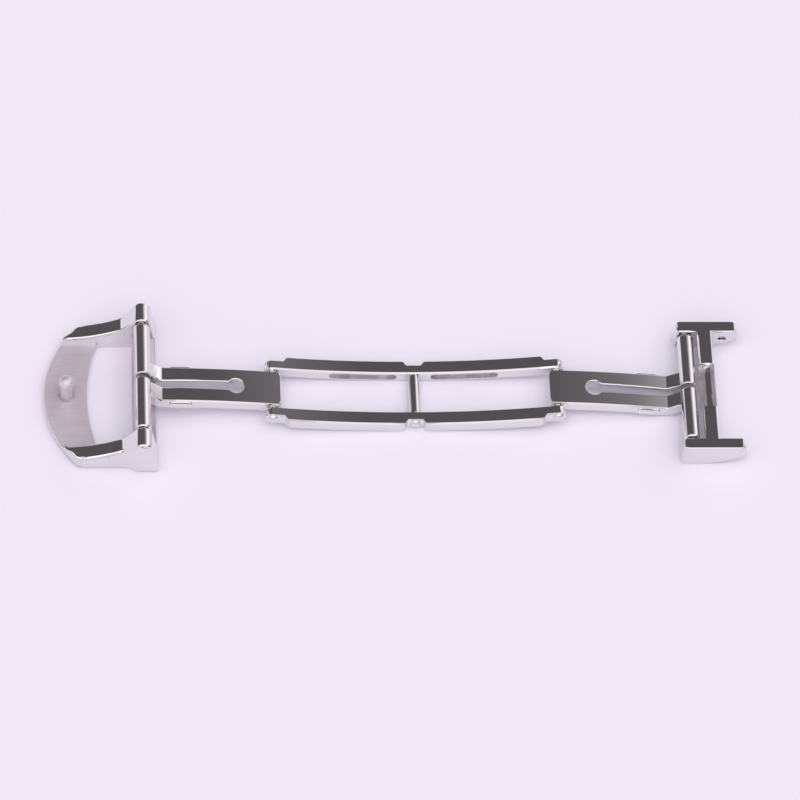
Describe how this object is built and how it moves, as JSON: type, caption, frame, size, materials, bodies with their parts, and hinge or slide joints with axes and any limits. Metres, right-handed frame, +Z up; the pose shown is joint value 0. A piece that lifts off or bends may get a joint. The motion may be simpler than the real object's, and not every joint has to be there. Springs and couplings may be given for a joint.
{
  "type": "deployant clasp",
  "caption": "Polished steel deployant clasp for a leather strap, laid open: curved two-rail frame, two folding blades, pin buckle frame and strap end.",
  "frame": {"origin": "middle of the open clasp in plan, on the table plane under it", "axes": "+X along the clasp from the buckle frame towards the strap end, +Y across the strap, +Z up, away from the table, towards the wrist side"},
  "size_m": [0.1016, 0.0246, 0.0072],
  "materials": {
    "polished_steel": "mirror polished",
    "satin_steel": "fine satin with polished edges"
  },
  "bodies": {
    "centre_frame": {"front_rail": "polished_steel", "rear_rail": "polished_steel", "centre_bar": "polished_steel", "left_hinge_pin": "polished_steel", "right_hinge_pin": "polished_steel"},
    "left_blade_body": {"left_blade": "polished_steel", "left_front_barrel_pin": "polished_steel", "left_rear_barrel_pin": "polished_steel"},
    "right_blade_body": {"right_blade": "polished_steel", "right_front_barrel_pin": "polished_steel", "right_rear_barrel_pin": "polished_steel"},
    "buckle_body": {"buckle_frame": "satin_steel", "strap_stud": "polished_steel"},
    "strap_end_body": {"strap_end": "satin_steel"}
  },
  "joints": [
    {"name": "left_blade_hinge", "type": "hinge", "parent": "centre_frame", "child": "left_blade_body", "pos_m": [-0.01783, 0, 0.0024], "axis": [0, -1, 0], "range_deg": [-2.73, 179.27]},
    {"name": "right_blade_hinge", "type": "hinge", "parent": "centre_frame", "child": "right_blade_body", "pos_m": [0.02357, 0, 0.00279], "axis": [0, 1, 0], "range_deg": [-31.58, 168.42]},
    {"name": "buckle_hinge", "type": "hinge", "parent": "left_blade_body", "child": "buckle_body", "pos_m": [-0.03671, 0, 0.00585], "axis": [0, -1, 0], "range_deg": [-178.92, 2.93]},
    {"name": "strap_end_hinge", "type": "hinge", "parent": "right_blade_body", "child": "strap_end_body", "pos_m": [0.04276, 0, 0.003], "axis": [0, 1, 0], "range_deg": [-169.17, 31.89]}
  ],
  "couplings": [
    {"joint": "buckle_hinge", "follows": "left_blade_hinge", "ratio": -0.99693},
    {"joint": "strap_end_hinge", "follows": "right_blade_hinge", "ratio": -1.0033}
  ]
}
